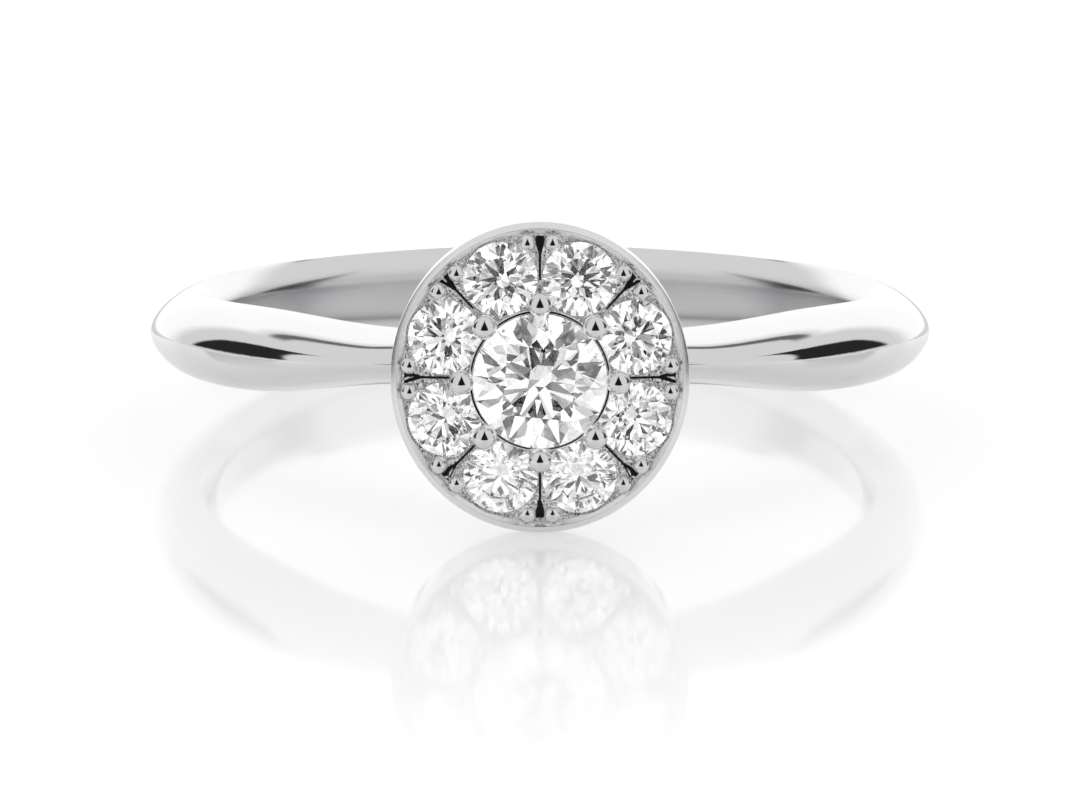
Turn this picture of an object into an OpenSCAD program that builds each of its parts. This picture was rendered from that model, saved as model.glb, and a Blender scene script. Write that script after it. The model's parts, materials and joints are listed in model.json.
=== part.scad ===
// Cluster ring: a round centre stone in eight claws, inside a circle of eight smaller
// stones set in a thin-rimmed cup, on a rounded band that narrows towards the cup.
// The ring lies on its side as it does when it is put down: the lower edge of the
// cup's rim and the lower edge of the band's back touch the surface.
// Units are millimetres. Before it is laid down the finger hole runs along Z, and
// the stones face -Y.

/* [Finger hole] */
// Radius of the finger hole
finger_r = 8.25; // [7.5:0.05:10]

/* [Band] */
// Width of the band at the back
back_w = 2.5; // [1.8:0.02:3]
// Width of the band at the sides
side_w = 2; // [1.6:0.02:2.8]
// Width of the band half way up the shoulders
shoulder_w = 2.08; // [1.4:0.02:2.4]
// Width of the band where it meets the cup
neck_w = 1.4; // [0.9:0.02:1.6]
// Wall of the band at its back and sides
band_wall = 1.7; // [1.4:0.05:2.2]
// Wall half way up the shoulders, where the outside runs straighter than the hole
shoulder_wall = 2.15; // [1.8:0.05:2.6]
// Wall where the band meets the cup
neck_wall = 2.6; // [2:0.05:2.8]
// Wall of the bar that crosses under the cup
bar_wall = 1.75; // [1.5:0.05:1.9]
// How far the shoulders stand above the cup's middle where they meet it
neck_stand = 0.17; // [0:0.01:0.2]
// How far they stand above it half way to the sides
shoulder_stand = 0.07; // [0:0.01:0.1]

/* [Cup] */
// Radius of the cup's rim
rim_r = 3.7; // [3.6:0.01:3.9]
// How much longer the cup is along the finger than across it
cup_oval = 1.044; // [1:0.002:1.06]
// Distance from the middle of the finger hole to the rim's front
rim_front = 11.6; // [11.4:0.05:12]
// Width of the bevel on the rim's outer edge
rim_bevel = 0.15; // [0.05:0.01:0.2]
// How far the rim slopes down inwards from its crest to the stones
rim_slope = 0.07; // [0:0.01:0.2]
// Depth of the straight wall behind the rim's front
rim_depth = 0.85; // [0.6:0.05:1]
// Radius of the cup's foot
foot_r = 2; // [1.8:0.05:2.3]
// Distance from the middle of the finger hole to the foot
foot_at = 9; // [8.8:0.05:9.3]

/* [Centre stone] */
// Radius of the centre stone
centre_r = 1.66; // [1.6:0.01:1.75]
// Height of its girdle above the rim's front
centre_rise = 0.68; // [0.6:0.02:0.9]
// Radius of the claws' round tips
claw_tip_r = 0.305; // [0.25:0.005:0.33]
// Radius of the circle that the tips stand on
claw_ring_r = 1.93; // [1.9:0.01:2]

/* [Circle of stones] */
// Number of small stones, and of claws round the centre stone
stone_count = 8;
// Radius of a small stone
small_r = 0.92; // [0.8:0.01:0.93]
// Radius of the circle that they stand on
small_ring_r = 2.545; // [2.5:0.005:2.56]
// How far each small stone leans outwards, in degrees
small_lean = 12; // [8:1:15]
// Radius of the small round grains that hold them at the rim
grain_r = 0.21; // [0.15:0.01:0.22]
// Radius of the circle that the grains stand on
grain_ring_r = 3.22; // [3.18:0.01:3.26]
// Distance of each grain from the middle of its pair
grain_half_gap = 0.31; // [0.28:0.01:0.34]

/* [Hidden] */

metal = "gainsboro";
gem = "lightcyan";

// Smallest gap between a stone and the metal
fit_gap = 0.035;
// Number of sides on each drawn circle
$fn = 48;

// Proportions of a round brilliant, for a stone of radius 1
table_r = 0.56;
crown_h = 0.3;
girdle_h = 0.06;
pavilion_h = 0.86;
star_reach = 0.5;
lower_reach = 0.77;

// The band's inner side is cut to the finger hole along its middle, and slopes away to its
// edges so that it slides on easily
inner_dip = 0.4;
edge_rise = 0.5;
inner_power = 1.1;
section_points = 24;
band_steps = 72;

// Roundness of the band's outside, from 1 for a plain ridge over 2 for an ellipse
neck_round = 1.6;
shoulder_round = 2.3;
side_round = 1.65;
back_round = 2.1;

// Sections of the band: angle from the cup in degrees, width, wall, how far the section's
// middle stands above the cup's, and the roundness of its outside
SECTIONS = [
    [0, neck_w, bar_wall, neck_stand, neck_round],
    [24, neck_w, neck_wall, neck_stand, neck_round],
    [50, shoulder_w, shoulder_wall, shoulder_stand, shoulder_round],
    [90, side_w, band_wall, 0, side_round],
    [135, (side_w + back_w) / 2, band_wall, 0, (side_round + back_round) / 2],
    [180, back_w, band_wall, 0, back_round]];
ANGLE = 0;
WIDTH = 1;
WALL = 2;
STAND = 3;
ROUNDNESS = 4;

// Heights in the cup, measured from the middle of the finger hole
small_at = rim_front;
centre_at = rim_front + centre_rise;
claw_tip_at = centre_at + 0.3;
grain_at = rim_front + 0.12;
plate_edge_at = rim_front - 0.3;
plate_top_at = rim_front - 0.05;
pitch = 360 / stone_count;

// The rim: its inner radius and the flare under its wall
rim_inner_r = rim_r - 0.27;
rim_flare = 0.3;

// The claws and grains: how thick their wires are and where they start
claw_r = 0.16;
claw_root_r = 1.7;
claw_root_at = rim_front - 0.3;
grain_stem_r = 0.12;
grain_root_at = plate_edge_at - 0.2;

// The holes: the well under the centre stone, the light hole under each small stone,
// and the pockets between the stones: a slot from the claw, that opens to a wedge at the rim
well_r = 1.3;
light_hole_r = 0.42;
light_hole_run = 3;
seat_clear = 1;
slot_start_r = 2.05;
slot_half_w = 0.025;
pocket_tip_r = 2.92;
pocket_end_r = 3.36;
pocket_half_w = 0.16;
pocket_depth = 0.7;

// The collar: its inner and outer radius at the foot and at the top, and its heights
collar_foot = [centre_r - 0.28, centre_r + 0.08];
collar_top = [centre_r + 0.025, centre_r + 0.1];
collar_foot_at = centre_at - 0.35;
collar_top_at = centre_at - 0.08;

// Profile of the cup as radius and height, from the foot round to the plate's middle
CUP = [
    [0, foot_at],
    [foot_r, foot_at],
    [rim_r - rim_flare, rim_front - rim_depth - rim_flare],
    [rim_r, rim_front - rim_depth],
    [rim_r, rim_front - rim_bevel],
    [rim_r - rim_bevel, rim_front],
    [rim_inner_r, rim_front - rim_slope],
    [rim_inner_r, plate_edge_at],
    [foot_r, plate_top_at],
    [0, plate_top_at]];

// Profile of the collar under the centre stone's girdle
COLLAR = [
    [collar_foot[0], collar_foot_at],
    [collar_foot[1], collar_foot_at],
    [collar_top[1], collar_top_at],
    [collar_top[0], collar_top_at]];

// A column of the section table at any angle from the cup, joined by smooth curves
function last_before(a) = max([for (i = [0 : len(SECTIONS) - 2]) if (a >= SECTIONS[i][ANGLE]) i]);
function slope(i, col) =
    i == 0 || i == len(SECTIONS) - 1 ? 0 :
    (SECTIONS[i + 1][col] - SECTIONS[i - 1][col]) / (SECTIONS[i + 1][ANGLE] - SECTIONS[i - 1][ANGLE]);
function blend(p, q, mp, mq, t) =
    (2 * t^3 - 3 * t^2 + 1) * p + (t^3 - 2 * t^2 + t) * mp + (3 * t^2 - 2 * t^3) * q + (t^3 - t^2) * mq;
function between(i, a, col, span) =
    blend(SECTIONS[i][col], SECTIONS[i + 1][col], slope(i, col) * span, slope(i + 1, col) * span,
          (a - SECTIONS[i][ANGLE]) / span);
function column(a, col) =
    let (i = last_before(a))
    between(i, a, col, SECTIONS[i + 1][ANGLE] - SECTIONS[i][ANGLE]);

// Point k of the section at an angle from the cup, as radius and place along the finger.
// Outside it is a rounded half, inside a sloped half that dips under the finger hole.
function signed_power(v, p) = sign(v) * pow(abs(v), p);
function section_point(a, k) =
    let (turn = 360 * k / section_points,
         outer = cos(turn) >= 0,
         p = 2 / (outer ? column(a, ROUNDNESS) : inner_power),
         rise = outer ? column(a, WALL) - edge_rise : -(edge_rise + inner_dip))
    [finger_r + edge_rise + rise * pow(abs(cos(turn)), p),
     column(a, STAND) + column(a, WIDTH) / 2 * signed_power(sin(turn), p)];
function section(a) = [for (k = [0 : section_points - 1]) section_point(a, k)];

// The tilt at which the rim and the band's back touch the surface together
BACK = section(180);
function back_low(t) = min([for (p = BACK) p[1] * cos(t) - p[0] * sin(t)]);
function rim_low(t) = min([for (p = CUP) p[1] * sin(t) - p[0] * cup_oval * cos(t)]);
function rest_tilt(low, high, steps) =
    let (middle = (low + high) / 2)
    steps == 0 ? middle :
    rim_low(middle) < back_low(middle) ? rest_tilt(middle, high, steps - 1) :
    rest_tilt(low, middle, steps - 1);
tilt = rest_tilt(0, 20, 30);
lift = -back_low(tilt);
front_reach = claw_tip_at * cos(tilt) + claw_ring_r * sin(tilt) + claw_tip_r;
back_reach = max([for (p = BACK) p[0] * cos(tilt) + p[1] * sin(tilt)]);

// Lays the finished ring on its side, with the middle of its outline over the origin
module at_rest() {
    translate([0, (front_reach - back_reach) / 2, lift])
        rotate([-tilt, 0, 0])
            children();
}

// Turns what is drawn standing on the finger so that its top faces -Y
module facing_front() {
    rotate([90, 0, 0])
        children();
}

// Frame of one small stone: on its place in the circle, leaning outwards
function stone_turn(i) = pitch * (i - 0.5);
module at_small_stone(i) {
    a = stone_turn(i);
    translate([small_ring_r * cos(a), small_ring_r * cup_oval * sin(a), small_at])
        rotate([0, 0, a])
            rotate([0, small_lean, 0])
                children();
}

// The band: sections carried round the finger hole, with the hole itself cut round
module band() {
    steps = band_steps;
    n = section_points;
    points = [
        for (i = [0 : steps - 1])
            let (a = 360 * i / steps)
            for (p = section(min(a, 360 - a)))
                [p[0] * sin(a), -p[0] * cos(a), p[1]]];
    faces = [
        for (i = [0 : steps - 1])
            for (k = [0 : n - 1])
                let (j = (i + 1) % steps,
                     m = (k + 1) % n)
                for (f = [[i * n + k, i * n + m, j * n + m], [i * n + k, j * n + m, j * n + k]])
                    f];
    difference() {
        polyhedron(points, faces);
        cylinder(h = 4 * back_w, r = finger_r, center = true, $fn = 144);
    }
}

// A round brilliant with its girdle at the origin and its table up
module brilliant(r) {
    g = girdle_h / 2;
    function ring(radius, height, count, start) =
        [for (k = [0 : count - 1])
            let (a = start + 360 * k / count)
            [radius * cos(a), radius * sin(a), height]];
    half = 22.5;
    star_r = table_r * cos(half) + star_reach * (1 - table_r * cos(half));
    star_h = g + crown_h * (1 - star_r * cos(half)) / (1 - table_r);
    low_r = 1 - lower_reach;
    low_h = -g - pavilion_h * (1 - low_r * cos(half));
    points = concat(
        ring(table_r, g + crown_h, 8, 0),
        ring(star_r, star_h, 8, half),
        ring(1, g, 16, 0),
        ring(1, -g, 16, 0),
        ring(low_r, low_h, 8, half),
        [[0, 0, -g - pavilion_h]]);
    star = 8;
    top = 16;
    bottom = 32;
    low = 48;
    culet = 56;
    faces = concat(
        [[for (k = [0 : 7]) 7 - k]],
        [for (k = [0 : 7]) [k, (k + 1) % 8, star + k]],
        [for (k = [0 : 7]) [k, star + k, top + 2 * k, star + (k + 7) % 8]],
        [for (k = [0 : 7]) [star + k, top + 2 * k + 1, top + 2 * k]],
        [for (k = [0 : 7]) [star + k, top + (2 * k + 2) % 16, top + 2 * k + 1]],
        [for (k = [0 : 15]) [top + k, top + (k + 1) % 16, bottom + (k + 1) % 16, bottom + k]],
        [for (k = [0 : 7]) [low + k, bottom + 2 * k, bottom + 2 * k + 1]],
        [for (k = [0 : 7]) [low + k, bottom + 2 * k + 1, bottom + (2 * k + 2) % 16]],
        [for (k = [0 : 7]) [culet, low + (k + 7) % 8, bottom + 2 * k, low + k]]);
    scale(r)
        polyhedron(points, faces);
}

// The room cut for a small stone: a cone under it, its outline above, and a light hole through
module small_seat() {
    room_r = small_r + fit_gap;
    shoulder = 2 * fit_gap;
    depth = (girdle_h / 2 + pavilion_h) * small_r + shoulder;
    translate([0, 0, -depth])
        cylinder(h = depth - shoulder, r1 = 0, r2 = room_r);
    translate([0, 0, -shoulder])
        cylinder(h = shoulder + seat_clear, r = room_r);
    translate([0, 0, -light_hole_run])
        cylinder(h = light_hole_run, r = light_hole_r);
}

// A pocket between two small stones, cut down from above the rim
module pocket() {
    side = [[slot_start_r, slot_half_w], [pocket_tip_r, slot_half_w], [pocket_end_r, pocket_half_w]];
    translate([0, 0, rim_front - pocket_depth])
        linear_extrude(height = 2 * pocket_depth)
            polygon(concat([for (p = side) [p[0], -p[1]]], [for (i = [2 : -1 : 0]) side[i]]));
}

// The cup with its rim, plate, seats and the open pockets between the stones
module cup() {
    difference() {
        scale([1, cup_oval, 1])
            rotate_extrude($fn = 96)
                polygon(CUP);
        cylinder(h = 2 * rim_front + seat_clear, r = well_r);
        for (i = [1 : stone_count])
            at_small_stone(i)
                small_seat();
        for (k = [0 : stone_count - 1])
            scale([1, cup_oval, 1])
                rotate([0, 0, pitch * k])
                    pocket();
    }
}

// The collar under the centre stone's girdle
module collar() {
    rotate_extrude($fn = 96)
        polygon(COLLAR);
}

// One claw of the centre stone: a wire that leans outwards, with a round tip
module claw() {
    run = claw_ring_r - claw_root_r;
    rise = claw_tip_at - claw_root_at;
    translate([claw_root_r, 0, claw_root_at])
        rotate([0, atan2(run, rise), 0])
            cylinder(h = norm([run, rise]), r = claw_r, $fn = 24);
    translate([claw_ring_r, 0, claw_tip_at])
        sphere(r = claw_tip_r, $fn = 32);
}

// One small grain at the rim
module grain() {
    translate([0, 0, grain_root_at])
        cylinder(h = grain_at - grain_root_at, r = grain_stem_r, $fn = 24);
    translate([0, 0, grain_at])
        sphere(r = grain_r, $fn = 24);
}

// All the metal, which is soldered into one piece
module ring_mount() {
    color(metal)
        at_rest() {
            band();
            facing_front() {
                cup();
                collar();
                for (k = [0 : stone_count - 1])
                    rotate([0, 0, pitch * k])
                        claw();
                for (k = [0 : stone_count - 1])
                    for (side = [-1, 1])
                        let (a = pitch * k + side * atan2(grain_half_gap, grain_ring_r),
                             r = norm([grain_ring_r, grain_half_gap]))
                        translate([r * cos(a), r * cup_oval * sin(a), 0])
                            grain();
            }
        }
}

module centre_stone() {
    color(gem)
        at_rest()
            facing_front()
                translate([0, 0, centre_at])
                    brilliant(centre_r);
}

module halo_stone(i) {
    color(gem)
        at_rest()
            facing_front()
                at_small_stone(i)
                    brilliant(small_r);
}

ring_mount();
centre_stone();
for (i = [1 : stone_count])
    halo_stone(i);
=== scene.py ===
"""A cluster ring lying on a glossy white table in a light tent.

The metal and the stones are drawn here as smooth surfaces and true facets over the
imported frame. Sizes are in millimetres until they are laid down with the frame, and a
drawing has x across the ring, y along the finger and z from the finger hole's middle
towards the stones.
"""

import json

import bmesh
import bpy
import numpy as np
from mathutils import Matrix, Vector


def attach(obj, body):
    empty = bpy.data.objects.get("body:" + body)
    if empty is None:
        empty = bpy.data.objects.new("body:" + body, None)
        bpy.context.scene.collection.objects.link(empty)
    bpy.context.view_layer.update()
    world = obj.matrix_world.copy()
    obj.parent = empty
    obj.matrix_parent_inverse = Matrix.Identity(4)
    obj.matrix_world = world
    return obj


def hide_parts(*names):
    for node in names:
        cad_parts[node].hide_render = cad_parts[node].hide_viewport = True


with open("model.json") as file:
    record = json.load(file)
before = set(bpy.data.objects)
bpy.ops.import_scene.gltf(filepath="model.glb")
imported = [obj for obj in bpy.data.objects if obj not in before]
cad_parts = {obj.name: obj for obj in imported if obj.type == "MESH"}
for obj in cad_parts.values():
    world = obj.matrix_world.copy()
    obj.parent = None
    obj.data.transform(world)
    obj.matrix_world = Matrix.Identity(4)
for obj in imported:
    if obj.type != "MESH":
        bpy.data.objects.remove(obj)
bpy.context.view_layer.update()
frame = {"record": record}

# How the frame lies: the finger hole's middle, and the drawing's x, y and z as it is laid down
MM = 0.001
HOLE = frame["record"]["mounts"][0]
MIDDLE = np.array(HOLE["pos_m"])
ACROSS = np.array([1.0, 0.0, 0.0])
ALONG = np.array(HOLE["axis"])
WAYS = np.stack([ACROSS, ALONG, np.cross(ACROSS, ALONG)])

# The band: at each angle from the cup its width, wall, how far it stands off the middle, and
# the roundness of its outer half, from 1 for a plain ridge over 2 for an ellipse
FINGER_R = HOLE["dims"]["r_mm"]
BAND = np.array([
    [0, 1.4, 1.75, 0.17, 1.6],
    [24, 1.4, 2.6, 0.17, 1.6],
    [50, 2.08, 2.15, 0.07, 2.3],
    [90, 2, 1.7, 0, 1.65],
    [135, 2.25, 1.7, 0, 1.875],
    [180, 2.5, 1.7, 0, 2.1]])

# The inner half of its section: how far the edges stand over the hole, how far the middle
# would dip under it, how flat the arch is, and the crease that softens its end at the hole
EDGE_RISE = 0.5
INNER_DIP = 0.4
INNER_POWER = 1.1
INNER_CREASE = 0.09

# How far over the hole's wall the wear of a finger and the painted shade inside the band reach
WEAR_AND_SHADE_REACH = 0.3

# The cup: its rim, its foot, the plate between the stones and the well under the centre
# stone. Whatever ends in AT is a height over the finger hole's middle.
RIM_R = 3.7
RIM_INNER_R = 3.43
RIM_BEVEL = 0.15
RIM_SLOPE = 0.07
RIM_FRONT = 11.6
RIM_DEPTH = 0.85
RIM_FLARE = 0.3
CUP_OVAL = 1.044
FOOT_R = 2
FOOT_AT = 9
PLATE_EDGE_AT = RIM_FRONT - 0.3
PLATE_TOP_AT = RIM_FRONT - 0.05
WELL_R = 1.3

# The stones, as they are set: the centre one leans and is turned a little, and each small
# one is turned by one step more than the one before it
STONES = 8
PITCH = 360 / STONES
CENTRE_R = 1.66
CENTRE_AT = RIM_FRONT + 0.68
CENTRE_LEAN = 0.9
CENTRE_TURN = 152
SMALL_R = 0.92
SMALL_RING_R = 2.545
SMALL_LEAN = 12
SMALL_TURN = 67
FIT_GAP = 0.035

# Proportions of a round brilliant of radius 1, and how often its facets repeat round it
FOLDS = 8
TABLE_R = 0.56
CROWN_H = 0.3
GIRDLE_H = 0.06
PAVILION_H = 0.86
STAR_REACH = 0.5
LOWER_REACH = 0.77

# What holds the stones
CLAW_TIP_R = 0.305
CLAW_RING_R = 1.93
CLAW_TIP_AT = CENTRE_AT + 0.3
CLAW_R = 0.16
CLAW_ROOT_R = 1.7
CLAW_ROOT_AT = RIM_FRONT - 0.3
GRAIN_R = 0.21
GRAIN_RING_R = 3.22
GRAIN_HALF_GAP = 0.31
GRAIN_AT = RIM_FRONT + 0.12
GRAIN_STEM_R = 0.12
GRAIN_ROOT_AT = PLATE_EDGE_AT - 0.2

# The collar's corners: how far out from the centre stone's girdle, how far over it, and how
# far from the corner the softening starts
COLLAR = np.array([
    [-0.28, -0.35, 0.02],
    [0.08, -0.35, 0.02],
    [0.1, -0.08, 0.03],
    [0.025, -0.08, 0.01]])

# A pocket between two small stones: radius and half width where its slot starts, where the
# slot opens to a wedge, and at the rim
POCKET = np.array([[2.05, 0.025], [2.92, 0.03], [3.36, 0.16]])
POCKET_DEPTH = 0.7

# The hole that lets light in under each small stone, and how far a cutter stands clear of
# what it cuts
LIGHT_HOLE_R = 0.42
LIGHT_HOLE_RUN = 3
CLEAR = 1

# How finely things are drawn: points round each, along the arc of a bead or of one half facet
# of a stone, and on a softened corner
BAND_TURNS = 540
BAND_SECTION = 160
CUP_TURNS = 256
COLLAR_TURNS = 192
WELL_TURNS = 128
SEAT_TURNS = 96
CLAW_TURNS = 48
CLAW_ARC = 28
GRAIN_TURNS = 36
GRAIN_ARC = 20
FACET_ARC = 6
CORNER_STEPS = 7
COLLAR_STEPS = 4

# Points closer than this, in metres, are one
SAME_PLACE = 1e-7

# Two faces that meet at more than this angle, in degrees, show a crisp edge
SHARP_ANGLE = 40
CUP_SHARP_ANGLE = 30

# The cup's three finishes. A face is on the plate if it lies this far inside the rim's wall,
# and on the rim if it lies no more than this many bevels under the rim's front.
POLISHED, ENGRAVED, SATIN = range(3)
PLATE_MARGIN = 0.005
RIM_BEVELS = 1.1


def laid(points):
    """Points of a drawing in millimetres, laid down as the frame lies, in metres."""
    return MIDDLE + MM * (points @ WAYS)


def drawn(points):
    """Points that are laid down, in metres, taken back to the drawing in millimetres."""
    return (points - MIDDLE) @ WAYS.T / MM


def grid_faces(rows, columns, rows_join=False):
    """The quads of a grid whose columns run round and join up, and its rows too if asked."""
    i = np.arange(rows if rows_join else rows - 1)[:, None]
    j = np.arange(columns)[None, :]
    below, beside = (i + 1) % rows, (j + 1) % columns
    quads = [i * columns + j, i * columns + beside, below * columns + beside, below * columns + j]
    return np.stack(quads, axis=-1).reshape(-1, 4)


def mesh_object(name, points, faces):
    """An object of laid points and faces, with doubled points merged and all faces outwards."""
    mesh = bpy.data.meshes.new(name)
    mesh.from_pydata(laid(points.reshape(-1, 3)).tolist(), [], [list(f) for f in faces])
    soft = bmesh.new()
    soft.from_mesh(mesh)
    bmesh.ops.remove_doubles(soft, verts=soft.verts, dist=SAME_PLACE)
    bmesh.ops.recalc_face_normals(soft, faces=soft.faces)
    soft.to_mesh(mesh)
    soft.free()
    piece = bpy.data.objects.new(name, mesh)
    bpy.context.collection.objects.link(piece)
    return piece


def finish_piece(piece, node, slot, *materials):
    """Gives a piece its materials, hangs it under the root and hides the CAD node that it stands for.
    The slot is not used.
    """
    for material in materials:
        piece.data.materials.append(material)
    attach(piece, "root")
    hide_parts(node)


def smooth(piece, sharp_angle=SHARP_ANGLE):
    """Smooth shading that stays crisp where two faces meet at more than the angle."""
    piece.data.shade_smooth()
    piece.data.set_sharp_from_angle(angle=np.radians(sharp_angle))


def rounded(profile, steps=CORNER_STEPS):
    """A line through corners, given as radius, height and cut. Each is softened between two
    points a cut before and after it, on the parabola that starts and ends there and leans
    towards the corner."""
    profile = np.array(profile, float)
    corners, cuts = profile[:, :2], profile[:, 2:]
    onward = np.roll(corners, -1, axis=0) - corners
    onward /= np.linalg.norm(onward, axis=1, keepdims=True)
    before, after = corners - cuts * np.roll(onward, 1, axis=0), corners + cuts * onward
    t = np.linspace(0, 1, steps)[None, :, None]
    line = (1 - t) ** 2 * before[:, None] + 2 * t * (1 - t) * corners[:, None] + t**2 * after[:, None]
    return line.reshape(-1, 2)


def lathe(profile, turns, oval=1):
    """Grid of points: each profile point, as radius and height, carried round the z axis, with
    y stretched by the oval."""
    turn = np.linspace(0, 2 * np.pi, turns, endpoint=False)
    radius, height = profile[:, :1], profile[:, 1:]
    return np.stack(
        [radius * np.cos(turn), radius * np.sin(turn) * oval, height + 0 * turn], axis=-1)


def turned(points, degrees):
    """Points turned about the z axis."""
    a = np.radians(degrees)
    x, y, z = np.moveaxis(points, -1, 0)
    return np.stack([x * np.cos(a) - y * np.sin(a), x * np.sin(a) + y * np.cos(a), z], axis=-1)


def leaned(points, degrees):
    """Points leaned from the z axis towards x."""
    a = np.radians(degrees)
    x, y, z = np.moveaxis(points, -1, 0)
    return np.stack([x * np.cos(a) + z * np.sin(a), y, z * np.cos(a) - x * np.sin(a)], axis=-1)


def at_small_stone(points, i):
    """Points drawn at a small stone, taken to its place in the circle, leaning outwards."""
    a = np.radians(PITCH * (i - 0.5))
    place = np.array([np.cos(a), np.sin(a) * CUP_OVAL, 0]) * SMALL_RING_R + [0, 0, RIM_FRONT]
    return turned(leaned(points, SMALL_LEAN), PITCH * (i - 0.5)) + place


def band_column(angle, column):
    """A column of the band's table at any angles, on cubic curves whose slope at each row is
    that of the line between its neighbours, and nothing at both ends."""
    known, values = BAND[:, 0], BAND[:, column]
    slopes = np.zeros(len(BAND))
    slopes[1:-1] = (values[2:] - values[:-2]) / (known[2:] - known[:-2])
    i = np.clip(np.searchsorted(known, angle, side="right") - 1, 0, len(BAND) - 2)
    span = known[i + 1] - known[i]
    t = (angle - known[i]) / span
    return (
        (2 * t**3 - 3 * t**2 + 1) * values[i]
        + (t**3 - 2 * t**2 + t) * slopes[i] * span
        + (3 * t**2 - 2 * t**3) * values[i + 1]
        + (t**3 - t**2) * slopes[i + 1] * span)


def make_band(material):
    """The band: a section carried round the finger hole. Seen along it, the outer half is a
    rounded arch and the inner half a flat one that stops at the hole, each a circle's sine and
    cosine raised to a power, and its width, wall, stand and roundness come from the table.
    Where the inner half would pass the hole, half the sum of its height over the hole and that
    height's length with a small crease turns it softly into the hole's wall. The wear-and-shade
    attribute is one at that wall and falls evenly to nothing a reach above it; it marks a
    finger's wear, shown as roughness, and painted shade inside the band, shown as darker colour."""
    angle = np.linspace(0, 360, BAND_TURNS, endpoint=False)[:, None]
    turn = np.linspace(0, 2 * np.pi, BAND_SECTION, endpoint=False)[None, :]
    from_cup = np.minimum(angle, 360 - angle)
    columns = range(1, BAND.shape[1])
    width, wall, stand, roundness = (band_column(from_cup, c) for c in columns)
    outer = np.cos(turn) >= 0
    power = 2 / np.where(outer, roundness, INNER_POWER)
    rise = np.where(outer, wall - EDGE_RISE, -(EDGE_RISE + INNER_DIP))
    above = EDGE_RISE + rise * np.abs(np.cos(turn)) ** power
    radius = FINGER_R + np.where(outer, above, (above + np.hypot(above, INNER_CREASE)) / 2)
    y = stand + width / 2 * np.sign(np.sin(turn)) * np.abs(np.sin(turn)) ** power
    a = np.radians(angle)
    points = np.stack([radius * np.sin(a), y, radius * np.cos(a)], axis=-1)
    band = mesh_object("band", points, grid_faces(BAND_TURNS, BAND_SECTION, rows_join=True))
    smooth(band)
    # The attribute stands for a finger's wear in the roughness and for painted shade in the colour
    inside = np.clip(1 - above / WEAR_AND_SHADE_REACH, 0, 1) + 0 * angle
    wear_and_shade = band.data.attributes.new("wear_and_shade", "FLOAT", "POINT")
    wear_and_shade.data.foreach_set("value", inside.astype(np.float32).ravel())
    finish_piece(band, "ring_mount", "white_gold", material)


def cup_profile():
    """The cup's outline, from the foot up the wall, over the rim and in to the middle of the
    plate. Each corner has its radius, its height and how far from it the softening starts."""
    wall_at = RIM_FRONT - RIM_DEPTH
    return rounded([
        (0, FOOT_AT, 0),
        (FOOT_R, FOOT_AT, 0.1),
        (RIM_R - RIM_FLARE, wall_at - RIM_FLARE, 0.15),
        (RIM_R, wall_at, 0.12),
        (RIM_R, RIM_FRONT - RIM_BEVEL, 0.05),
        (RIM_R - RIM_BEVEL, RIM_FRONT, 0.008),
        (RIM_INNER_R, RIM_FRONT - RIM_SLOPE, 0.02),
        (RIM_INNER_R, PLATE_EDGE_AT, 0.02),
        (FOOT_R, PLATE_TOP_AT, 0.05),
        (0, PLATE_TOP_AT, 0)])


def cup_cutters():
    """What is cut out of the cup: the well, a room with a light hole under each small stone,
    and the wedge-shaped pockets between them. Each is a closed surface of its own."""
    room_r, shoulder = SMALL_R + FIT_GAP, 2 * FIT_GAP
    cone_at = LIGHT_HOLE_R * PAVILION_H - (PAVILION_H + GIRDLE_H / 2) * SMALL_R - shoulder
    seat = np.array([
        (0, -LIGHT_HOLE_RUN),
        (LIGHT_HOLE_R, -LIGHT_HOLE_RUN),
        (LIGHT_HOLE_R, cone_at),
        (room_r, -shoulder),
        (room_r, CLEAR),
        (0, CLEAR)], float)
    low, high = FOOT_AT - CLEAR, RIM_FRONT + CLEAR
    well = np.array([(0, low), (WELL_R, low), (WELL_R, high), (0, high)])
    shapes = [(lathe(well, WELL_TURNS), grid_faces(len(well), WELL_TURNS))]
    for i in range(1, STONES + 1):
        room = at_small_stone(lathe(seat, SEAT_TURNS), i)
        shapes.append((room, grid_faces(len(seat), SEAT_TURNS)))
    outline = np.concatenate([POCKET * [1, -1], POCKET[::-1]])
    n = len(outline)
    floor_and_top = RIM_FRONT - POCKET_DEPTH, RIM_FRONT + CLEAR
    wedge = np.array([[[x, y, z] for x, y in outline] for z in floor_and_top])
    sides = [[v, (v + 1) % n, (v + 1) % n + n, v + n] for v in range(n)]
    wedge_faces = [list(range(n)), list(range(n, 2 * n)), *sides]
    for k in range(STONES):
        shapes.append((turned(wedge, PITCH * k) * [1, CUP_OVAL, 1], wedge_faces))
    points, faces = [], []
    for shape, quads in shapes:
        start = sum(len(p) for p in points)
        points.append(shape.reshape(-1, 3))
        faces += [[start + v for v in quad] for quad in quads]
    return np.concatenate(points), faces


def cut_away(piece, cutter):
    """Takes the cutter's closed shapes out of the piece and keeps the result as its mesh."""
    cut = piece.modifiers.new("cut", "BOOLEAN")
    cut.operation = "DIFFERENCE"
    cut.solver = "EXACT"
    cut.object = cutter
    ready = piece.evaluated_get(bpy.context.evaluated_depsgraph_get())
    mesh = bpy.data.meshes.new_from_object(ready)
    piece.modifiers.clear()
    piece.data = mesh
    bpy.data.objects.remove(cutter)


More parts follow.
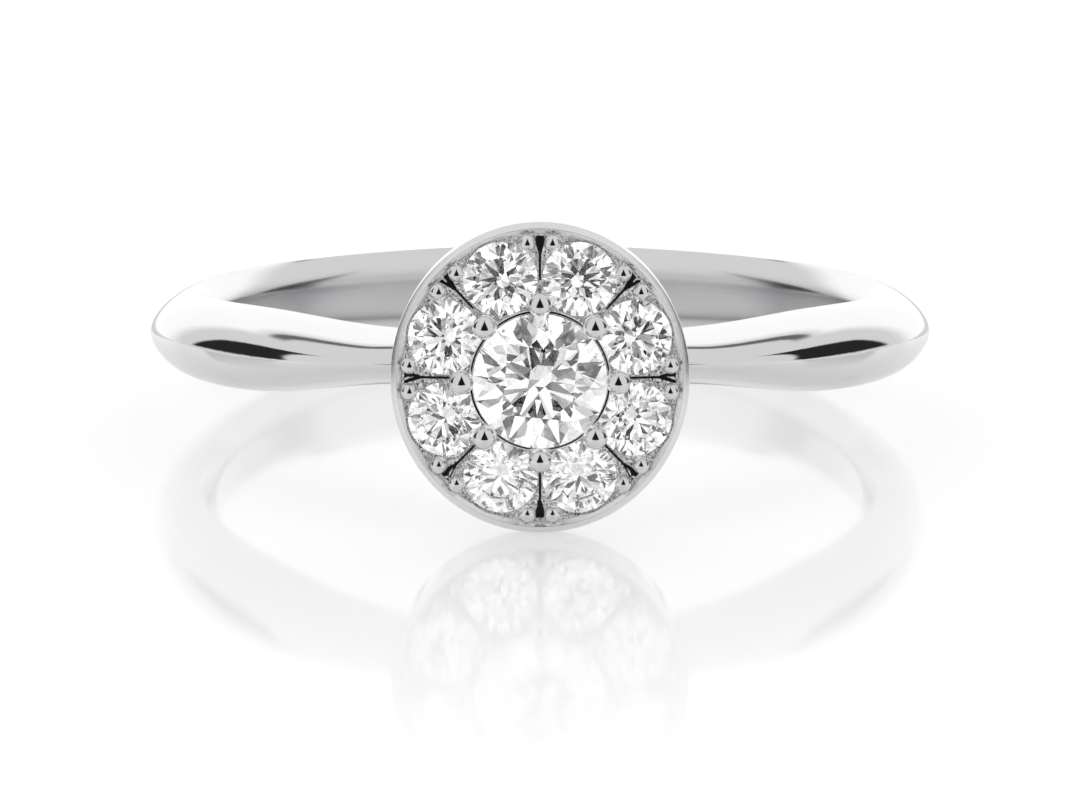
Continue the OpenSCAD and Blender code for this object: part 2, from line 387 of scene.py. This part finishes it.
def make_cup(polished, engraved, satin):
    """The cup with its thin rim, and the plate with the rooms cut for the stones. The faces
    inside the rim down to half the pockets' depth are engraved, and the rim's front and bevel
    are satin."""
    profile = cup_profile()
    blank = lathe(profile, CUP_TURNS, CUP_OVAL)
    cup = mesh_object("cup", blank, grid_faces(len(profile), CUP_TURNS))
    cut_away(cup, mesh_object("cutters", *cup_cutters()))
    smooth(cup, CUP_SHARP_ANGLE)
    finish_piece(cup, "ring_mount", "white_gold", polished, engraved, satin)
    faces = len(cup.data.polygons)
    centres = np.empty(3 * faces)
    cup.data.polygons.foreach_get("center", centres)
    x, y, z = drawn(centres.reshape(-1, 3)).T
    inside = np.hypot(x, y / CUP_OVAL) < RIM_INNER_R - PLATE_MARGIN
    on_plate = inside & (z > RIM_FRONT - POCKET_DEPTH / 2)
    on_rim = ~inside & (z > RIM_FRONT - RIM_BEVELS * RIM_BEVEL)
    finish = np.select([on_rim, on_plate], [SATIN, ENGRAVED], POLISHED)
    cup.data.polygons.foreach_set("material_index", finish.astype(np.int32))


def make_collar(material):
    """The collar under the centre stone's girdle: a four-sided profile carried round."""
    profile = rounded(COLLAR + [CENTRE_R, CENTRE_AT, 0], COLLAR_STEPS)
    faces = grid_faces(len(profile), COLLAR_TURNS, rows_join=True)
    collar = mesh_object("collar", lathe(profile, COLLAR_TURNS), faces)
    smooth(collar)
    finish_piece(collar, "ring_mount", "white_gold", material)


def bead_on_wire(wire_r, bead_r, length, steps):
    """Profile of a round bead on the end of a wire: straight up the wire, then the bead's arc
    from where the wire meets it over to the top."""
    meets = np.pi - np.arcsin(wire_r / bead_r)
    arc = np.linspace(meets, 0, steps)
    bead = np.stack([bead_r * np.sin(arc), length + bead_r * np.cos(arc)], axis=-1)
    return np.concatenate([[[0, 0], [wire_r, 0]], bead])


def make_claws(material):
    """Eight leaning claws with large round tips, round the centre stone."""
    run, rise = CLAW_RING_R - CLAW_ROOT_R, CLAW_TIP_AT - CLAW_ROOT_AT
    profile = bead_on_wire(CLAW_R, CLAW_TIP_R, np.hypot(run, rise), CLAW_ARC)
    upright, faces = lathe(profile, CLAW_TURNS), grid_faces(len(profile), CLAW_TURNS)
    leaning = leaned(upright, np.degrees(np.arctan2(run, rise))) + [CLAW_ROOT_R, 0, CLAW_ROOT_AT]
    for k in range(STONES):
        claw = mesh_object(f"claw_{k + 1}", turned(leaning, PITCH * k), faces)
        smooth(claw)
        finish_piece(claw, "ring_mount", "white_gold", material)


def make_grains(material):
    """Small round grains in pairs at the rim, one on each side of every pocket."""
    profile = bead_on_wire(GRAIN_STEM_R, GRAIN_R, GRAIN_AT - GRAIN_ROOT_AT, GRAIN_ARC)
    upright, faces = lathe(profile, GRAIN_TURNS), grid_faces(len(profile), GRAIN_TURNS)
    for k in range(STONES):
        for in_pair, side in ((1, -1), (2, 1)):
            root = np.array([GRAIN_RING_R, side * GRAIN_HALF_GAP, GRAIN_ROOT_AT])
            place = turned(root, PITCH * k) * [1, CUP_OVAL, 1]
            grain = mesh_object(f"grain_{2 * k + in_pair}", upright + place, faces)
            smooth(grain)
            finish_piece(grain, "ring_mount", "white_gold", material)


def brilliant(radius, arc=FACET_ARC):
    """A round brilliant, girdle at the origin and table up. The facets are flat: the table, eight
    stars, eight kites, sixteen upper halves, and below the girdle sixteen lower halves and eight
    mains. The halves meet the round girdle in scallops: at an angle from a half's own line the
    edge lies at the line's height plus slope times (one less the cosine), less slope times the
    tangent of an eighth of a right angle times the sine. Returns points, facets and how many of
    the facets come before the girdle's own."""
    g, half = GIRDLE_H / 2, np.pi / FOLDS
    folds = np.arange(FOLDS) * 2 * half
    around = np.arange(2 * FOLDS * arc) * half / arc
    off_line = np.abs(around % (2 * half) - half)
    scallop = 1 - np.cos(off_line) - np.tan(half / 2) * np.sin(off_line)
    star_r = TABLE_R * np.cos(half) + STAR_REACH * (1 - TABLE_R * np.cos(half))
    star_h = g + CROWN_H * (1 - star_r * np.cos(half)) / (1 - TABLE_R)
    low_r = 1 - LOWER_REACH
    low_h = -g - PAVILION_H * (1 - low_r * np.cos(half))
    top_h = g + (star_h - g) / (1 - star_r) * scallop
    foot_h = -g + (low_h + g) / (1 - low_r) * scallop

    def ring(r, h, angles):
        return np.stack([r * np.cos(angles), r * np.sin(angles), h + 0 * angles], axis=-1)

    points = np.concatenate([
        ring(TABLE_R, g + CROWN_H, folds),
        ring(star_r, star_h, folds + half),
        ring(low_r, low_h, folds + half),
        [[0, 0, -g - PAVILION_H]],
        ring(1, top_h, around),
        ring(1, foot_h, around)])
    star, low, culet = FOLDS, 2 * FOLDS, 3 * FOLDS
    top, n = culet + 1, len(around)
    foot = top + n
    facets = [list(range(FOLDS))]
    for k in range(FOLDS):
        following, previous = (k + 1) % FOLDS, (k - 1) % FOLDS
        corner = 2 * k * arc
        arcs = [range(start, start + arc + 1) for start in (corner, corner + arc)]
        facets.append([k, star + k, following])
        facets.append([k, star + previous, top + corner, star + k])
        facets += [[star + k] + [top + v % n for v in run] for run in arcs]
        facets += [[low + k] + [foot + v % n for v in run] for run in arcs]
        facets.append([culet, low + previous, foot + corner, low + k])
    cut = len(facets)
    facets += [[top + v, top + (v + 1) % n, foot + (v + 1) % n, foot + v] for v in range(n)]
    return points * radius, facets, cut


def make_stone(name, node, points, facets, cut, materials):
    """One stone with clear facets and a finely ground girdle."""
    stone = mesh_object(name, points, facets)
    finish_piece(stone, node, "diamond", *materials)
    is_girdle = np.arange(len(facets)) >= cut
    stone.data.polygons.foreach_set("material_index", is_girdle.astype(np.int32))
    stone.data.polygons.foreach_set("use_smooth", is_girdle)


def make_stones(materials):
    """The centre stone and the circle of eight small ones."""
    points, facets, cut = brilliant(CENTRE_R)
    placed = turned(leaned(points, CENTRE_LEAN), CENTRE_TURN) + [0, 0, CENTRE_AT]
    make_stone("centre_brilliant", "centre_stone", placed, facets, cut, materials)
    points, facets, cut = brilliant(SMALL_R)
    for i in range(1, STONES + 1):
        placed = at_small_stone(turned(points, SMALL_TURN * i), i)
        make_stone(f"halo_brilliant_{i}", f"halo_stone_{i}", placed, facets, cut, materials)


def add_node(tree, kind, inputs=None, **settings):
    """A node with its settings; each input is a value or another node's output."""
    node = tree.nodes.new(kind)
    for name, value in settings.items():
        setattr(node, name, value)
    for key, value in (inputs or {}).items():
        if isinstance(value, bpy.types.NodeSocket):
            tree.links.new(value, node.inputs[key])
        else:
            node.inputs[key].default_value = value
    return node


def sums(tree, operation, *values):
    """The result of one sum on numbers or other nodes' outputs."""
    return add_node(
        tree, "ShaderNodeMath", dict(enumerate(values)), operation=operation).outputs["Value"]


def product(tree, *values):
    """The product of numbers or other nodes' outputs."""
    result = values[0]
    for value in values[1:]:
        result = sums(tree, "MULTIPLY", result, value)
    return result


def blend(tree, share, here, there):
    """A level that goes from one number to another as the share goes from nothing to one."""
    return sums(tree, "MULTIPLY_ADD", share, there - here, here)


def ramp(tree, value, low, high, start=0.0, end=1.0, curve="SMOOTHSTEP"):
    """A step from start to end as the value goes from low to high, soft unless the curve
    says otherwise."""
    node = add_node(
        tree, "ShaderNodeMapRange",
        {"Value": value, "From Min": low, "From Max": high, "To Min": start, "To Max": end},
        interpolation_type=curve)
    return node.outputs["Result"]


def object_place(tree):
    """Where a point lies in its object's own coordinates, in metres."""
    return add_node(tree, "ShaderNodeTexCoord").outputs["Object"]


def noise(tree, place, scale, detail):
    """Cloudy noise with about as many lumps to one unit of the place as the scale says."""
    node = add_node(tree, "ShaderNodeTexNoise", {"Vector": place, "Scale": scale, "Detail": detail})
    return node.outputs["Fac"]


def drifting(tree, cloud, levels):
    """A level that drifts between two as the noise drifts between its usual limits."""
    return ramp(tree, cloud, *NOISE_LIMITS, *levels, curve="LINEAR")


def add_bump(tree, shader, height, strength, depth):
    """Roughens the shader's surface with a height that is scaled to a depth in metres."""
    bump = add_node(tree, "ShaderNodeBump", {"Height": height, "Strength": strength, "Distance": depth})
    tree.links.new(bump.outputs["Normal"], shader.inputs["Normal"])


def new_material(name, constants):
    """A material with a Principled shader, with constants for some of its inputs. Returns the
    material, its tree and the shader."""
    material = bpy.data.materials.new(name)
    material.use_nodes = True
    tree = material.node_tree
    shader = tree.nodes["Principled BSDF"]
    for key, value in constants.items():
        shader.inputs[key].default_value = value
    return material, tree, shader


# What several materials share: the noise's usual limits, the metal of the cut and the satin
# faces, painted paler than the polish so that these faces look brighter, and how strongly
# diamond bends light. Below, a noise is given as its scale and detail, and a bump as its
# strength and its depth in metres.
NOISE_LIMITS = (0.3, 0.7)
CUT_METAL = {"Base Color": (0.97, 0.972, 0.98, 1), "Metallic": 1}
DIAMOND_IOR = 2.417

# The mirror polish: its roughness and colour drift over a few millimetres, and its wheel
# marks run level, because their noise is squeezed along the height
POLISH_DRIFT = (420.0, 3.0)
POLISH_ROUGHNESS = (0.03, 0.075)
POLISH_COLOURS = ((0.84, 0.845, 0.855, 1), (0.9, 0.9, 0.905, 1))
WHEEL_MARKS = (2600.0, 2.0)
WHEEL_STRETCH = (1.0, 1.0, 9.0)
WHEEL_BUMP = (0.06, 0.00001)

# How the band's inside differs from its mirror polish: rougher from a finger's wear, and painted
# darker close to the finger as painted shade, where the wear-and-shade attribute is raised to
# this power
WORN_ROUGHNESS = 0.18
INSIDE_SHADE_COLOUR = (0.7, 0.7, 0.71, 1)
INSIDE_SHADE_POWER = 4.0


def white_gold():
    """Rhodium-bright white gold: a mirror polish whose roughness drifts a little, with faint
    wheel marks in its bump. Where the wear-and-shade attribute grows, it is rougher from a
    finger's wear and painted darker as shade inside the band."""
    material, tree, shader = new_material("white_gold", {"Metallic": 1})
    place = object_place(tree)
    drift = noise(tree, place, *POLISH_DRIFT)
    stretch = add_node(tree, "ShaderNodeMapping", {"Vector": place, "Scale": WHEEL_STRETCH})
    add_bump(tree, shader, noise(tree, stretch.outputs["Vector"], *WHEEL_MARKS), *WHEEL_BUMP)
    tint = add_node(tree, "ShaderNodeValToRGB", {"Fac": drift})
    for element, colour in zip(tint.color_ramp.elements, POLISH_COLOURS):
        element.color = colour
    wear_and_shade = add_node(tree, "ShaderNodeAttribute", attribute_name="wear_and_shade").outputs["Fac"]
    polish = drifting(tree, drift, POLISH_ROUGHNESS)
    rough = sums(tree, "ADD", polish, product(tree, wear_and_shade, WORN_ROUGHNESS))
    # Painted shade: the metal's colour darkens towards the finger inside the band
    painted_shade = sums(tree, "POWER", wear_and_shade, INSIDE_SHADE_POWER)
    shaded_tint = add_node(tree, "ShaderNodeMixRGB", {0: painted_shade, 1: tint.outputs["Color"], 2: INSIDE_SHADE_COLOUR})
    tree.links.new(rough, shader.inputs["Roughness"])
    tree.links.new(shaded_tint.outputs["Color"], shader.inputs["Base Color"])
    return material


# The satin faces: a grain of a tenth of a millimetre, and the roughness it drifts between
SATIN_GRAIN = (9000.0, 2.0)
SATIN_ROUGHNESS = (0.2, 0.28)


def satin_gold():
    """White gold with the soft sheen of a hand-finished edge."""
    material, tree, shader = new_material("satin_gold", CUT_METAL)
    grain = noise(tree, object_place(tree), *SATIN_GRAIN)
    tree.links.new(drifting(tree, grain, SATIN_ROUGHNESS), shader.inputs["Roughness"])
    return material


# The graver's cuts: how many to a metre, the bump they make and their roughness
CUTS_TO_A_METRE = 8000.0
CUT_BUMP = (1.0, 0.00008)
CUT_ROUGHNESS = 0.2


def engraved_gold():
    """White gold cut bright with a graver between the stones: small flat cuts a tenth of a
    millimetre across, each tilted its own way."""
    constants = CUT_METAL | {"Roughness": CUT_ROUGHNESS}
    material, tree, shader = new_material("engraved_gold", constants)
    where = {"Vector": object_place(tree), "Scale": CUTS_TO_A_METRE}
    cuts = add_node(tree, "ShaderNodeTexVoronoi", where)
    add_bump(tree, shader, cuts.outputs["Distance"], *CUT_BUMP)
    return material


def diamond():
    """Clear colourless diamond, polished flat."""
    return new_material("diamond", {
        "Base Color": (0.985, 0.99, 1, 1),
        "Roughness": 0,
        "IOR": DIAMOND_IOR,
        "Transmission Weight": 1})[0]


# The ground girdle's grain, of a few hundredths of a millimetre, and the bump it makes
GRIT = (30000.0, 2.0)
GRIT_BUMP = (0.3, 0.00001)


def ground_girdle():
    """The girdle's fine ground finish: frosted, and a little less clear than the facets."""
    material, tree, shader = new_material("ground_girdle", {
        "Base Color": (0.95, 0.955, 0.965, 1),
        "Roughness": 0.35,
        "IOR": DIAMOND_IOR,
        "Transmission Weight": 0.8})
    add_bump(tree, shader, noise(tree, object_place(tree), *GRIT), *GRIT_BUMP)
    return material


# The light tent as directions seen from the ring, in degrees: turn away from the camera's
# side, and height above the table. First its plain level, and the bright part at the back.
TENT = 0.72
BACK = 1.08
BACK_FROM = (132, 148)
BACK_UP_TO = (34, 41)

# The dark flag on each side: its middle and half width at the table's height, how much they
# shrink with each degree of height, half the width of its soft edge, where it begins under
# the table's height, and how much of the light it takes
FLAG_MIDDLE = 105.9
FLAG_HALF = 17.4
FLAG_LEAN = 0.12
FLAG_TAPER = 0.36
FLAG_SOFT = 2
FLAG_LOW = (-7.5, -5.5)
FLAG_DARK = 0.97

# The dark gap over the bright part at the back: the heights between which it begins and
# between which it ends, and how much of the light it takes
GAP_AT = (39, 41)
GAP_TO = (43, 45)
GAP_DARK = 0.8

# The dark door round the camera: its half width, which is less for what is seen through a
# stone, the height at which it has narrowed to nothing, half the width of its soft edge, and
# how much of the light it takes
DOOR_HALF = 31
DOOR_HALF_IN_STONE = 17
DOOR_TOP = 92
DOOR_SOFT = 3
DOOR_DARK = 0.985

# What is seen through a stone only: a field of soft lamps, with one level where its noise is
# under the first edge and another where it is over the second, and a glint near the lens,
# which grows as the product of its direction and the ray's goes from one value to the other
LAMP_FIELD = (4.0, 1.0)
LAMP_EDGES = (0.36, 0.46)
LAMP_LEVELS = (0.7, 1.9)
GLINT_WAY = (-0.05, -0.985, 0.14)
GLINT_WIDTH = (0.972, 0.988)
GLINT = 1.5


def light_tent():
    """The tent round the ring: pale all over, bright low at the back, with a dark flag on each
    side, a dark gap over the bright part, and a dark door that the camera looks through. Rays
    that have passed into a stone find a narrower door, a field of lamps and a glint, so that
    the stones sparkle. The camera itself sees plain white."""
    world = bpy.data.worlds.new("light_tent")
    bpy.context.scene.world = world
    world.use_nodes = True
    tree = world.node_tree
    way = add_node(tree, "ShaderNodeTexCoord").outputs["Generated"]
    x, y, z = add_node(tree, "ShaderNodeSeparateXYZ", {"Vector": way}).outputs
    from_lens = sums(tree, "ARCTAN2", sums(tree, "ABSOLUTE", x), product(tree, y, -1.0))
    turn = sums(tree, "DEGREES", from_lens)
    high = sums(tree, "DEGREES", sums(tree, "ARCSINE", z))
    path = add_node(tree, "ShaderNodeLightPath").outputs
    in_stone = sums(tree, "GREATER_THAN", path["Transmission Depth"], 0.0)
    at_back = ramp(tree, turn, *BACK_FROM)
    level = blend(tree, product(tree, at_back, ramp(tree, high, *BACK_UP_TO, 1.0, 0.0)), TENT, BACK)

    off_middle = sums(tree, "SUBTRACT", turn, FLAG_MIDDLE)
    beside = sums(tree, "ABSOLUTE", sums(tree, "MULTIPLY_ADD", high, FLAG_LEAN, off_middle))
    beside = sums(tree, "MULTIPLY_ADD", high, FLAG_TAPER, beside)
    across = ramp(tree, beside, FLAG_HALF - FLAG_SOFT, FLAG_HALF + FLAG_SOFT, 1.0, 0.0)
    flag = product(tree, across, ramp(tree, high, *FLAG_LOW))

    below, above = ramp(tree, high, *GAP_AT), ramp(tree, high, *GAP_TO, 1.0, 0.0)
    gap = product(tree, at_back, below, above)

    half = blend(tree, in_stone, DOOR_HALF, DOOR_HALF_IN_STONE)
    edge = product(tree, half, sums(tree, "MULTIPLY_ADD", high, -1 / DOOR_TOP, 1.0))
    door = ramp(tree, sums(tree, "SUBTRACT", turn, edge), -DOOR_SOFT, DOOR_SOFT, 1.0, 0.0)
    for shade, dark in ((flag, FLAG_DARK), (gap, GAP_DARK), (door, DOOR_DARK)):
        level = product(tree, level, blend(tree, shade, 1.0, 1.0 - dark))

    lamps = ramp(tree, noise(tree, way, *LAMP_FIELD), *LAMP_EDGES, *LAMP_LEVELS)
    gain = sums(tree, "MULTIPLY_ADD", in_stone, sums(tree, "SUBTRACT", lamps, 1.0), 1.0)
    near_lens = add_node(
        tree, "ShaderNodeVectorMath", {0: way, 1: GLINT_WAY}, operation="DOT_PRODUCT")
    glint = ramp(tree, near_lens.outputs["Value"], *GLINT_WIDTH, 0.0, GLINT)
    level = sums(tree, "ADD", product(tree, level, gain), product(tree, in_stone, glint))
    level = sums(tree, "MAXIMUM", level, path["Is Camera Ray"])
    tree.links.new(level, tree.nodes["Background"].inputs["Color"])


# The table top, in metres, and how much light of its own lifts it. To the camera the mirror
# image fades between two distances, from and to two shares of plain white.
TABLE_HALF = 0.6
TABLE_ROUGHNESS = 0.07
TABLE_IOR = 1.5
TABLE_COLOUR = (0.86, 0.86, 0.865)
TABLE_LIFT = 0.32
MIRROR_FADES = (0.013, 0.036)
MIRROR_WHITENED = (0.12, 0.85)
PLAIN_WHITE = {"Color": (1, 1, 1, 1), "Strength": 1.05}

# What other rays find of it: a top painted darker than the camera sees it, with painted shade
# inside the finger hole and behind the ring, that ends between two distances and lets the tent
# through beyond
UNSEEN_COLOUR = 0.72
HOLE_SHADE_AT = (0, 0.003, 0)
HOLE_SHADE_R = (0.0042, 0.0062)
HOLE_SHADE = 0.35
BEHIND_FROM = (0.012, 0.014)
BEHIND_LEVEL = 0.45
TABLE_ENDS = (0.026, 0.027)


def table_top():
    """A glossy white table top. To the camera it lightens away from the ring, as the picture's
    white ground does, so the mirror image fades out. All other rays find it painted a little
    darker, with painted shade inside the finger hole and behind the ring, and gone at some
    distance from the ring."""
    corners = np.array([[-1, -1, 0], [1, -1, 0], [1, 1, 0], [-1, 1, 0]]) * TABLE_HALF
    mesh = bpy.data.meshes.new("table_top")
    mesh.from_pydata(corners.tolist(), [], [[0, 1, 2, 3]])
    top = bpy.data.objects.new("table_top", mesh)
    bpy.context.collection.objects.link(top)
    material, tree, shader = new_material("glossy_white", {
        "Roughness": TABLE_ROUGHNESS,
        "IOR": TABLE_IOR,
        "Emission Color": (1, 1, 1, 1)})
    seen = add_node(tree, "ShaderNodeLightPath").outputs["Is Camera Ray"]
    place = object_place(tree)
    away = add_node(tree, "ShaderNodeVectorMath", {0: place}, operation="LENGTH").outputs["Value"]
    y = add_node(tree, "ShaderNodeSeparateXYZ", {"Vector": place}).outputs["Y"]
    # Painted shade: for all rays but the camera's, the table is darkened inside the finger hole and
    # behind the ring
    from_hole = add_node(
        tree, "ShaderNodeVectorMath", {0: place, 1: HOLE_SHADE_AT}, operation="DISTANCE")
    in_hole = ramp(tree, from_hole.outputs["Value"], *HOLE_SHADE_R, HOLE_SHADE, 1.0)
    lit_part = product(tree, in_hole, ramp(tree, y, *BEHIND_FROM, 1.0, BEHIND_LEVEL))
    lift = product(tree, sums(tree, "MAXIMUM", lit_part, seen), TABLE_LIFT)
    tree.links.new(lift, shader.inputs["Emission Strength"])
    shade = sums(tree, "MAXIMUM", product(tree, lit_part, UNSEEN_COLOUR), seen)
    pale = add_node(
        tree, "ShaderNodeVectorMath", {0: TABLE_COLOUR, "Scale": shade}, operation="SCALE")
    tree.links.new(pale.outputs["Vector"], shader.inputs["Base Color"])
    fade = product(tree, seen, ramp(tree, away, *MIRROR_FADES, *MIRROR_WHITENED))
    white = add_node(tree, "ShaderNodeEmission", PLAIN_WHITE).outputs["Emission"]
    faded = add_node(tree, "ShaderNodeMixShader", {0: fade, 1: shader.outputs["BSDF"], 2: white})
    beyond = product(tree, ramp(tree, away, *TABLE_ENDS), sums(tree, "SUBTRACT", 1.0, seen))
    clear = add_node(tree, "ShaderNodeBsdfTransparent").outputs["BSDF"]
    ended = add_node(
        tree, "ShaderNodeMixShader", {0: beyond, 1: faded.outputs["Shader"], 2: clear})
    tree.links.new(ended.outputs["Shader"], tree.nodes["Material Output"].inputs["Surface"])
    mesh.materials.append(material)


# The camera, in metres: it stands low in front and looks through a long lens
CAMERA_AT = Vector((0, -0.309425, 0.078312))
CAMERA_AIM = Vector((0, 0.000987, 0.000524))
CLEAR_OF_LENS = 0.01
LENS_MM = 416.7
SENSOR_MM = 36

# How often light is followed on: the stones need the most
GLOSSY_BOUNCES = 16
STONE_BOUNCES = 24


def make_camera():
    """The photograph's camera, about 14 degrees above the table."""
    data = bpy.data.cameras.new("camera")
    data.lens = LENS_MM
    data.sensor_width = SENSOR_MM
    data.clip_start = CLEAR_OF_LENS
    camera = bpy.data.objects.new("camera", data)
    bpy.context.collection.objects.link(camera)
    camera.location = CAMERA_AT
    camera.rotation_euler = (CAMERA_AIM - CAMERA_AT).to_track_quat("-Z", "Y").to_euler()
    bpy.context.scene.camera = camera


def studio():
    """Camera, tent, table, plain colour handling and enough bounces for the stones."""
    make_camera()
    light_tent()
    table_top()
    scene = bpy.context.scene
    scene.view_settings.view_transform = "Standard"
    scene.cycles.max_bounces = STONE_BOUNCES
    scene.cycles.glossy_bounces = GLOSSY_BOUNCES
    scene.cycles.transmission_bounces = STONE_BOUNCES


gold = white_gold()
make_band(gold)
make_cup(gold, engraved_gold(), satin_gold())
make_collar(gold)
make_claws(gold)
make_grains(gold)
make_stones([diamond(), ground_girdle()])
studio()
